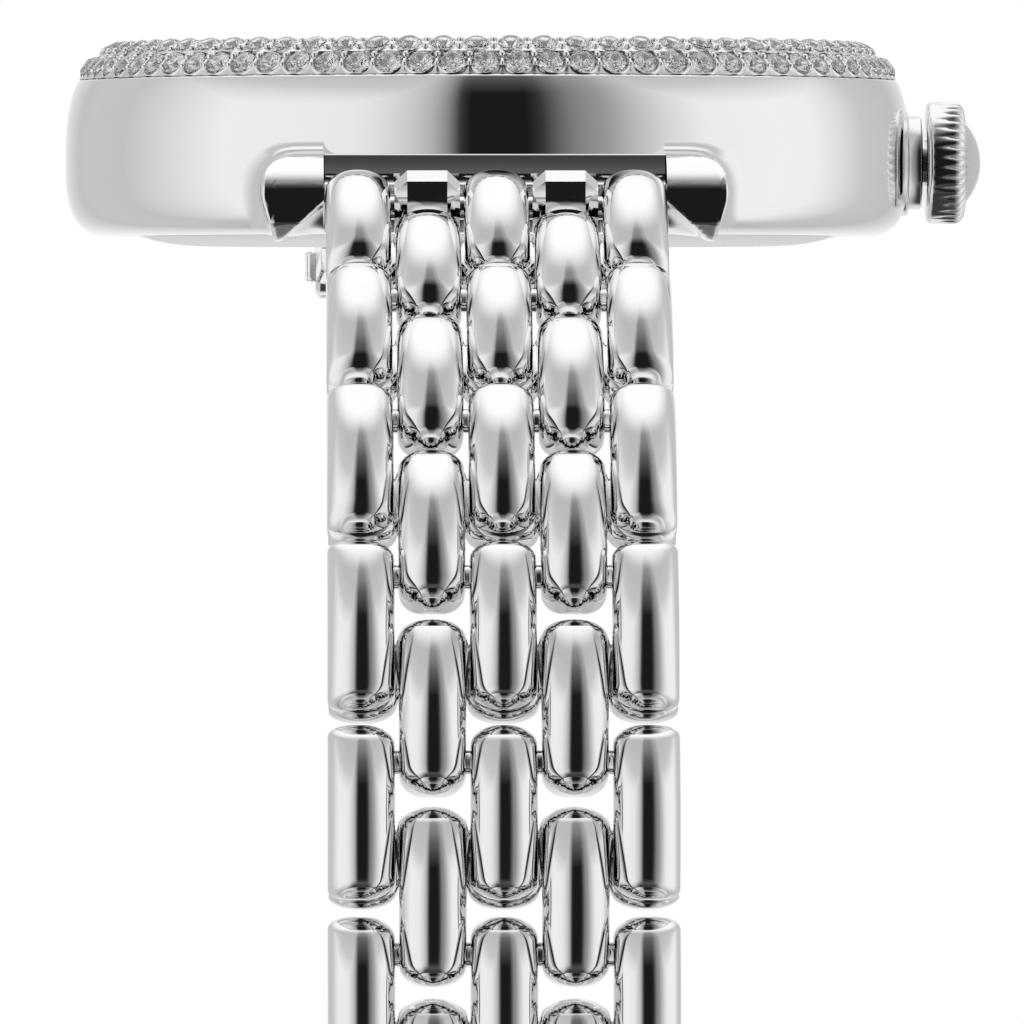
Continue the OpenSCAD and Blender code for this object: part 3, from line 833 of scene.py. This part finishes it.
def stone_row(count, tilt, turn, seed):
    """All stones of a row, each turned about its own axis and set a hair out of true."""
    rng = np.random.default_rng(seed)
    verts, faces = cut_stone()
    shape = Shape()
    for i in range(count):
        phi = (i + turn) * TAU / count
        spin, lean_a, lean_b = rng.uniform(0, TAU), *rng.normal(0, 0.05, 2)
        normal = np.array([math.cos(tilt) * math.cos(phi), math.cos(tilt) * math.sin(phi), math.sin(tilt)])
        round_dir = np.array([-math.sin(phi), math.cos(phi), 0])
        normal = normal + lean_a * round_dir + lean_b * np.cross(normal, round_dir)
        normal /= np.linalg.norm(normal)
        round_dir = round_dir - normal * (normal @ round_dir)
        round_dir /= np.linalg.norm(round_dir)
        up = np.cross(normal, round_dir)
        u = math.cos(spin) * round_dir + math.sin(spin) * up
        v = np.cross(normal, u)
        r = BEZEL_R + (BEZEL_ARC + ROW_LIFT) * math.cos(tilt)
        lift = (BEZEL_ARC + ROW_LIFT) * math.sin(tilt)
        at = np.array([r * math.cos(phi), r * math.sin(phi), BEZEL_Z + lift])
        shape.add(at + verts[:, :1] * u + verts[:, 1:2] * v + verts[:, 2:] * normal, faces)
    return shape


def make_stones():
    for name, count, tilt, turn, seed in (("outer_stones", OUTER_COUNT, OUTER_TILT, 0, 3),
                                          ("inner_stones", INNER_COUNT, INNER_TILT, 0.5, 5)):
        shape = stone_row(count, tilt, turn, seed)
        add_mesh(name + "_cut", shape.all_verts(), shape.faces, "case", stone_glass, [name],
                 flat=True)


def make_beads():
    """Small grains of metal that hold the stones, raised between neighbours."""
    shape = Shape()
    ball = arc(0, 0, 1, -90, 90, 7)[1:-1]
    verts, faces = turned([(0, -1)] + ball + [(0, 1)], 10)
    rows = [(OUTER_COUNT, 0.5, 39 + 6.5, 0.15), (OUTER_COUNT, 0.5, 39 - 3.5, 0.12),
            (INNER_COUNT, 0, 65 + 5, 0.14), (INNER_COUNT, 0, 65 - 7, 0.14)]
    for count, turn, tilt_deg, size in rows:
        tilt = math.radians(tilt_deg)
        for i in range(count):
            phi = (i + turn) * TAU / count
            point, normal = bezel_frame(np.array(tilt), np.array(phi))
            shape.add(point + normal * 0.04 + verts * size, faces)
    add_mesh("bezel_beads", shape.all_verts(), shape.faces, "case", bezel_steel, [])


# ---------- crown ----------

def make_crown():
    """Crown with notches that deepen towards its outer rim, on a short post."""
    n = KNURLS * 10
    phi = np.arange(n) * TAU / n
    groove = 1 - np.abs(np.cos(phi * KNURLS / 2)) ** 0.7
    width = CROWN_X2 - CROWN_X1
    outline = [(0.9, 0.08), (1.9, 0.08), (2.12, 0.1), (CROWN_R - 0.12, 0.14), (CROWN_R - 0.03, 0.2)]
    outline += [(CROWN_R, x) for x in (0.32, 0.5, 0.66, 0.82, 0.98, 1.14)]
    outline += [(CROWN_R - 0.01, 1.28), (CROWN_R - 0.05, 1.4), (CROWN_R - 0.14, 1.5),
                (CROWN_R - 0.28, 1.58), (CROWN_R - 0.46, width - 0.02), (CROWN_R - 0.62, width),
                (1.7, width), (1.64, width - 0.05), (1.62, width - 0.3), (0.9, width - 0.32)]
    rings = []
    for r, x in outline:
        depth = 0.015 + 0.2 * min(max((x - 0.6) / 0.8, 0), 1) ** 1.3 if x >= 0.5 and r > 1.75 else 0
        rr = r - depth * groove
        rings.append(np.stack([rr * np.cos(phi), rr * np.sin(phi), np.full(n, CROWN_X1 + x)], -1))
    verts = np.concatenate(rings)
    faces = grid_faces(len(outline), n, True, True)
    shape = Shape()
    shape.add(to_crown_axis(verts), faces)
    post_r, post_from, post_to = 0.85, 16.6, CROWN_X1 + width - 0.3
    post, post_faces = turned([(0, post_from), (post_r, post_from), (post_r, post_to), (0, post_to)], 40)
    shape.add(to_crown_axis(post), post_faces)
    add_mesh("crown_knurled", shape.all_verts(), shape.faces, "crown", crown_steel, ["crown"],
             sharp=45)


def make_cabochon():
    """The domed cap set in the crown's end."""
    seat_x, base_r, base_h, dome_r = 18.41, 1.6, 0.3, 2.35
    top = base_h + 0.62
    centre = top - dome_r
    outline = [(0, 0.0), (base_r - 0.05, 0.0), (base_r, 0.05), (base_r, base_h)]
    start = math.asin(min(base_r / dome_r, 1))
    for a in np.linspace(start, 0, 14)[1:-1]:
        outline.append((dome_r * math.sin(a), centre + dome_r * math.cos(a)))
    outline.append((0, top))
    verts, faces = turned([(r, seat_x + x) for r, x in outline], 72)
    add_mesh("crown_cap_dome", to_crown_axis(verts), faces, "crown", cap_material, ["crown_cabochon"])


def make_crown_tube():
    """Neck and flange between the case and the crown."""
    outline = [(0.9, 17.0), (1.74, 17.0), (1.83, 16.93), (1.83, 16.5), (1.86, 16.46), (2.02, 16.45),
               (2.08, 16.4), (2.1, 16.33), (2.08, 16.26), (2.0, 16.2), (1.9, 16.18), (1.9, 15.9),
               (0.9, 15.9)]
    verts, faces = lathe(outline, 96)
    add_mesh("crown_tube_neck", to_crown_axis(verts), faces, "case", crown_steel, ["crown_tube"],
             sharp=40)


# ---------- clasp ----------

# box and tongue in a clasp half's own axes: x width, s along the bracelet from the hinge, h up
BOX_LEN, BOX_HALF_H = 15, 1.5
MOUTH_HALF_W, MOUTH_HALF_H, MOUTH_FROM = 4.6, 0.7, 6.5
BUTTON_FROM, BUTTON_LEN, BUTTON_HALF_H, BUTTON_TRAVEL = 9.6, 2.8, 0.7, 0.45


def eased_block(x, s, h, ease):
    """A block with its twelve edges bevelled, from its three ranges."""
    verts = []
    for level, inset in ((s[0], ease), (s[0] + ease, 0.0), (s[1] - ease, 0.0), (s[1], ease)):
        x1, x2, h1, h2 = x[0] + inset, x[1] - inset, h[0] + inset, h[1] - inset
        outline = [(x1 + ease, h1), (x2 - ease, h1), (x2, h1 + ease), (x2, h2 - ease),
                   (x2 - ease, h2), (x1 + ease, h2), (x1, h2 - ease), (x1, h1 + ease)]
        verts += [(a, level, b) for a, b in outline]
    faces = grid_faces(4, 8, False, True)
    faces += [tuple(range(7, -1, -1)), tuple(24 + k for k in range(8))]
    return np.array(verts), faces


def clasp_knuckles(shape):
    for row in (-2, 0, 2):
        x = (row * ROW_STEP - PILL_HALF_W, row * ROW_STEP + PILL_HALF_W)
        shape.add(*rod_x(KNUCKLE_R, x[0], x[1], 0, 0, 48, 0.2))
        shape.add(*eased_block(x, (0.1, 2.4), (-UNDER, 1.15), 0.15))
    shape.add(*rod_x(PIN_R, -BAND_HALF_W + 0.15, BAND_HALF_W - 0.15, 0, 0))


def clasp_box():
    """Back block, two plates and four side walls round the tongue's mouth, with slots for the buttons."""
    shape = Shape()
    clasp_knuckles(shape)
    wide = (-BAND_HALF_W, BAND_HALF_W)
    shape.add(*eased_block(wide, (2, BOX_LEN), (MOUTH_HALF_H + 0.06, BOX_HALF_H), 0.22))
    shape.add(*eased_block(wide, (2, BOX_LEN), (-BOX_HALF_H, -MOUTH_HALF_H - 0.06), 0.22))
    shape.add(*eased_block(wide, (2.05, MOUTH_FROM), (-1.0, 1.0), 0.05))
    button_end = BUTTON_FROM + BUTTON_LEN
    for side in (-1, 1):
        x = sorted((side * MOUTH_HALF_W, side * (BAND_HALF_W - 0.02)))
        shape.add(*eased_block(x, (MOUTH_FROM - 0.1, BUTTON_FROM - 0.06), (-1.0, 1.0), 0.05))
        shape.add(*eased_block(x, (button_end + 0.06, BOX_LEN - 0.02), (-1.0, 1.0), 0.05))
    return shape


def clasp_tongue():
    """Shoulder and blade, notched on both sides for the buttons' noses."""
    shape = Shape()
    clasp_knuckles(shape)
    shape.add(*eased_block((-BAND_HALF_W, BAND_HALF_W), (2, 4.5), (-1.3, 1.3), 0.25))
    shape.add(*eased_block((-3.9, 3.9), (4.2, 12.6), (-0.55, 0.55), 0.1))
    for side in (-1, 1):
        x = sorted((side * 3.7, side * 4.4))
        shape.add(*eased_block(x, (4.2, 7.0), (-0.55, 0.55), 0.1))
        shape.add(*eased_block(x, (10.0, 12.6), (-0.55, 0.55), 0.1))
    return shape


def clasp_button(side):
    """A side button, grooved for the finger, with the flange that keeps it in the box."""
    shape = Shape()
    far = BAND_HALF_W + BUTTON_TRAVEL
    end = BUTTON_FROM + BUTTON_LEN
    x = sorted((side * 4.3, side * (far - 0.12)))
    shape.add(*eased_block(x, (BUTTON_FROM, end), (-BUTTON_HALF_H, BUTTON_HALF_H), 0.1))
    x = sorted((side * 4.7, side * 5.55))
    shape.add(*eased_block(x, (BUTTON_FROM - 0.3, end + 0.3), (-BUTTON_HALF_H, BUTTON_HALF_H), 0.05))
    ribs = 5
    pitch = (BUTTON_LEN - 0.2) / ribs
    for i in range(ribs):
        start = BUTTON_FROM + 0.1 + i * pitch
        x = sorted((side * (far - 0.3), side * far))
        h = (-BUTTON_HALF_H + 0.05, BUTTON_HALF_H - 0.05)
        shape.add(*eased_block(x, (start + 0.06, start + pitch - 0.06), h, 0.09))
    return shape


def make_clasp():
    pieces = [("clasp_box", clasp_box(), 12, "box", band_steel),
              ("clasp_tongue", clasp_tongue(), 6, "tongue", band_steel),
              ("clasp_button_left", clasp_button(-1), 12, "button_left", crown_steel),
              ("clasp_button_right", clasp_button(1), 12, "button_right", crown_steel)]
    for node, shape, side, body, material in pieces:
        at, before = pin(side, LINKS + 1), pin(side, LINKS)
        along = (at - before) / np.linalg.norm(at - before)
        m = np.array(pose_matrix(side, at, along))
        verts = shape.all_verts() @ m[:3, :3].T + m[:3, 3] / MM
        add_mesh(node + "_steel", verts, shape.faces, body, material, [node], sharp=30)


# ---------- inside and clasp: CAD shapes with their own finishes ----------

FINISHES = {
    "crystal": "crystal_glass", "crystal_gasket": "white_gasket", "inner_ring": "flange_silver",
    "dial": "dial_pearl", "dial_markers": "hand_steel", "hour_hand": "hand_steel",
    "minute_hand": "hand_steel", "hour_wheel": "gilt_brass", "cannon_pinion": "gilt_brass",
    "movement": "movement_brass", "movement_ring": "holder_plastic",
    "battery": "battery_steel", "battery_clip": "satin_steel", "back_gasket": "black_gasket",
    "crown_gasket": "black_gasket", "stem": "satin_steel", "setting_lever": "gilt_brass",
    "spring_bars": "satin_steel", "clasp_spring": "satin_steel",
}


def finish_cad_nodes():
    """Gives the CAD shapes that stay visible their own materials."""
    for node, material in FINISHES.items():
        obj = frame["nodes"][node]
        obj.data.materials.clear()
        obj.data.materials.append(bpy.data.materials[material])


# ---------- world, floor and camera ----------

# brightness that polished steel sees at the height of the watch: azimuth from the camera, then level
SURROUND = [(-180, 0.95), (-150, 0.6), (-140, 0.63), (-118, 0.62), (-97, 0.8), (-78, 0.98), (-53, 0.96),
            (-38, 0.93), (-30, 0.83), (-21, 0.65), (-16, 0.5), (-12, 0.3), (-8.5, 0.05), (-6, 0.012),
            (10, 0.012), (14, 0.04), (23, 0.24), (32, 0.36), (41, 0.58), (50, 0.78), (61, 0.96),
            (85, 1.0), (100, 0.98), (112, 0.82), (124, 0.64), (148, 0.58), (180, 0.95)]
RISE = [(0, 0), (30, 0), (41, 0.09), (50, 0.18), (60, 0.38), (73, 0.56), (80, 0.74), (90, 1)]
OVERHEAD = 0.6
SIDE_CAP = [(0, 1.1), (18, 1.0), (35, 0.66), (55, 0.56), (90, 0.56)]
SOFT_LIGHT = (0, 0.4226, 0.9063)  # direction of the large soft light, above and behind
SOFT_LIGHT_LEVEL = 1.15
FALL = [(0, 0), (45, 0), (65, 0.6), (90, 1)]
BELOW = 0.4
SHADE = 0.05  # under and behind the hanging half of the bracelet


def ramp_node(nodes, stops, low, high):
    ramp = nodes.new("ShaderNodeValToRGB")
    elements = ramp.color_ramp.elements
    while len(elements) < len(stops):
        elements.new(0.5)
    for element, (at, level) in zip(elements, stops):
        element.position = (at - low) / (high - low)
        element.color = (level, level, level, 1)
    return ramp


def math_node(nodes, links, operation, a, b=None):
    node = nodes.new("ShaderNodeMath")
    node.operation = operation
    for socket, value in zip(node.inputs, (a, b)):
        if value is None:
            continue
        if isinstance(value, (int, float)):
            socket.default_value = value
        else:
            links.new(value, socket)
    return node.outputs["Value"]


def smooth_range(nodes, links, value, zero_at, one_at):
    node = nodes.new("ShaderNodeMapRange")
    node.interpolation_type = "SMOOTHSTEP"
    node.inputs["From Min"].default_value = zero_at
    node.inputs["From Max"].default_value = one_at
    links.new(value, node.inputs["Value"])
    return node.outputs["Result"]


def mixed(nodes, links, factor, color, level):
    """The colour, going over to a plain grey level as the factor goes from 0 to 1."""
    mix = nodes.new("ShaderNodeMix")
    mix.data_type = "RGBA"
    links.new(factor, mix.inputs[0])
    links.new(color, mix.inputs[6])
    mix.inputs[7].default_value = (level, level, level, 1)
    return mix.outputs[2]


def make_world():
    """A studio that polished steel mirrors, and a plain white background for the camera."""
    world = bpy.data.worlds.new("studio")
    bpy.context.scene.world = world
    world.use_nodes = True
    nodes, links = world.node_tree.nodes, world.node_tree.links
    nodes.clear()
    coords = nodes.new("ShaderNodeTexCoord")
    split = nodes.new("ShaderNodeSeparateXYZ")
    links.new(coords.outputs["Generated"], split.inputs["Vector"])
    x, y, z = split.outputs
    azimuth = math_node(nodes, links, "ARCTAN2", x, math_node(nodes, links, "MULTIPLY", y, -1))
    turn = math_node(nodes, links, "MULTIPLY_ADD", azimuth, 1 / TAU)
    turn.node.inputs[2].default_value = 0.5
    height = math_node(nodes, links, "ARCSINE", z)
    part = math_node(nodes, links, "MULTIPLY", height, 2 / math.pi)
    round_about = ramp_node(nodes, SURROUND, -180, 180)
    rise = ramp_node(nodes, RISE, 0, 90)
    fall = ramp_node(nodes, FALL, 0, 90)
    links.new(turn, round_about.inputs["Fac"])
    links.new(math_node(nodes, links, "MAXIMUM", part, 0), rise.inputs["Fac"])
    part_down = math_node(nodes, links, "MULTIPLY", part, -1)
    links.new(math_node(nodes, links, "MAXIMUM", part_down, 0), fall.inputs["Fac"])
    cap = ramp_node(nodes, SIDE_CAP, 0, 90)
    links.new(math_node(nodes, links, "MAXIMUM", part, 0), cap.inputs["Fac"])
    level = math_node(nodes, links, "MINIMUM", round_about.outputs["Color"], cap.outputs["Color"])
    for amount, end in ((rise, OVERHEAD), (fall, BELOW)):
        level = mixed(nodes, links, amount.outputs["Color"], level, end)
    toward = nodes.new("ShaderNodeVectorMath")
    toward.operation = "DOT_PRODUCT"
    toward.inputs[1].default_value = SOFT_LIGHT
    links.new(coords.outputs["Generated"], toward.inputs[0])
    dim_at, full_at = math.cos(math.radians(47)), math.cos(math.radians(17))
    patch = smooth_range(nodes, links, toward.outputs["Value"], dim_at, full_at)
    lit = mixed(nodes, links, patch, level, SOFT_LIGHT_LEVEL)
    # a dark stretch low down, close to the plane that the bracelet hangs in
    low_down = smooth_range(nodes, links, z, -0.66, -0.92)
    middle = smooth_range(nodes, links, math_node(nodes, links, "ABSOLUTE", x), 0.42, 0.15)
    dark = mixed(nodes, links, math_node(nodes, links, "MULTIPLY", low_down, middle), lit, SHADE)
    seen = nodes.new("ShaderNodeBackground")
    links.new(dark, seen.inputs["Color"])
    plain = nodes.new("ShaderNodeBackground")
    plain.inputs["Color"].default_value = (1, 1, 1, 1)
    path = nodes.new("ShaderNodeLightPath")
    choose = nodes.new("ShaderNodeMixShader")
    out = nodes.new("ShaderNodeOutputWorld")
    links.new(path.outputs["Is Camera Ray"], choose.inputs[0])
    links.new(seen.outputs[0], choose.inputs[1])
    links.new(plain.outputs[0], choose.inputs[2])
    links.new(choose.outputs[0], out.inputs["Surface"])


def make_floor():
    """A pale disc just under the bracelet that fades out into the background."""
    radius = 0.6
    level = cad_box[0].z - 0.0005
    mat, nodes, links, shader = new_material("floor")
    shader.inputs["Roughness"].default_value = 0.8
    grain = noise(nodes, links, 60)
    shade = two_tone(nodes, links, grain.outputs["Fac"], (0.86, 0.86, 0.86), (0.9, 0.9, 0.9))
    links.new(shade, shader.inputs["Base Color"])
    coords = nodes.new("ShaderNodeTexCoord")
    length = nodes.new("ShaderNodeVectorMath")
    length.operation = "LENGTH"
    links.new(coords.outputs["Object"], length.inputs[0])
    fade = ranged(nodes, links, length.outputs["Value"], 0, 1, radius * 0.25, radius * 0.98)
    clear = nodes.new("ShaderNodeBsdfTransparent")
    mix = nodes.new("ShaderNodeMixShader")
    links.new(fade, mix.inputs[0])
    links.new(shader.outputs[0], mix.inputs[1])
    links.new(clear.outputs[0], mix.inputs[2])
    links.new(mix.outputs[0], nodes["Material Output"].inputs["Surface"])
    mesh = bpy.data.meshes.new("floor")
    n = 96
    ring = [(radius * math.cos(TAU * i / n), radius * math.sin(TAU * i / n), 0) for i in range(n)]
    mesh.from_pydata(ring, [], [tuple(range(n))])
    mesh.materials.append(mat)
    floor = bpy.data.objects.new("floor", mesh)
    floor.location.z = level
    floor.visible_glossy = False
    bpy.context.scene.collection.objects.link(floor)


def make_camera():
    """A long lens almost level with the watch, a degree to the left of 6 o'clock."""
    azimuth, elevation, distance = math.radians(-1), math.radians(0.77), 550
    target = np.array([0.96, 0, -10.43])
    back = np.array([math.sin(azimuth) * math.cos(elevation), -math.cos(azimuth) * math.cos(elevation),
                     math.sin(elevation)])
    data = bpy.data.cameras.new("camera")
    data.sensor_width = 36
    data.lens = 493.07
    data.clip_start, data.clip_end = 0.05, 10
    camera = bpy.data.objects.new("camera", data)
    camera.location = ((target + distance * back) * MM).tolist()
    camera.rotation_mode = "QUATERNION"
    camera.rotation_quaternion = Vector((-back).tolist()).to_track_quat("-Z", "Y")
    bpy.context.scene.collection.objects.link(camera)
    bpy.context.scene.camera = camera
    bpy.context.scene.view_settings.view_transform = "Standard"


make_case()
make_case_back()
make_bezel()
make_stones()
make_beads()
make_crown()
make_cabochon()
make_crown_tube()
make_links()
make_end_links()
make_clasp()
finish_cad_nodes()
make_world()
make_floor()
make_camera()
